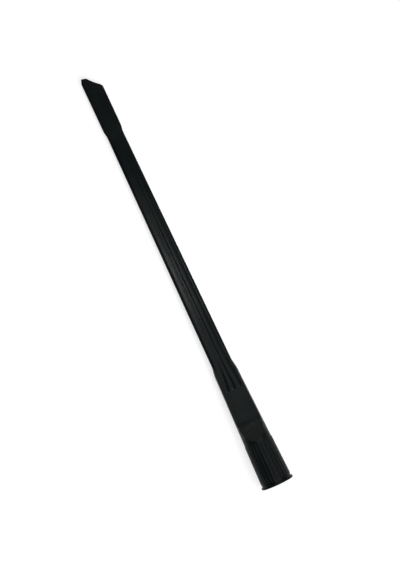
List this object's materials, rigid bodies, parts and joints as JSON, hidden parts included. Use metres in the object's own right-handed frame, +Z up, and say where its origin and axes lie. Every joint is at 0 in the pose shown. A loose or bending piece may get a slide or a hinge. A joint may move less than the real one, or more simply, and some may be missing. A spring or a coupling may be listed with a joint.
{
  "type": "flexible crevice tool",
  "caption": "Long flat hollow vacuum nozzle with a round push-on socket, ribbed cuff, flattened handle, thin fluted blade that bends, and a slanted mouth.",
  "frame": {"origin": "centre of the socket's mouth, in the plane of the flange's outer face", "axes": "+X along the tool from the socket to the nose, +Y to the long side of the slanted mouth, +Z up out of a flat fluted face"},
  "size_m": [0.5498, 0.042, 0.0419],
  "materials": {
    "black_plastic": "black moulded polyethylene with a low satin sheen"
  },
  "bodies": {
    "root": {"crevice_tool": "black_plastic"}
  },
  "joints": []
}
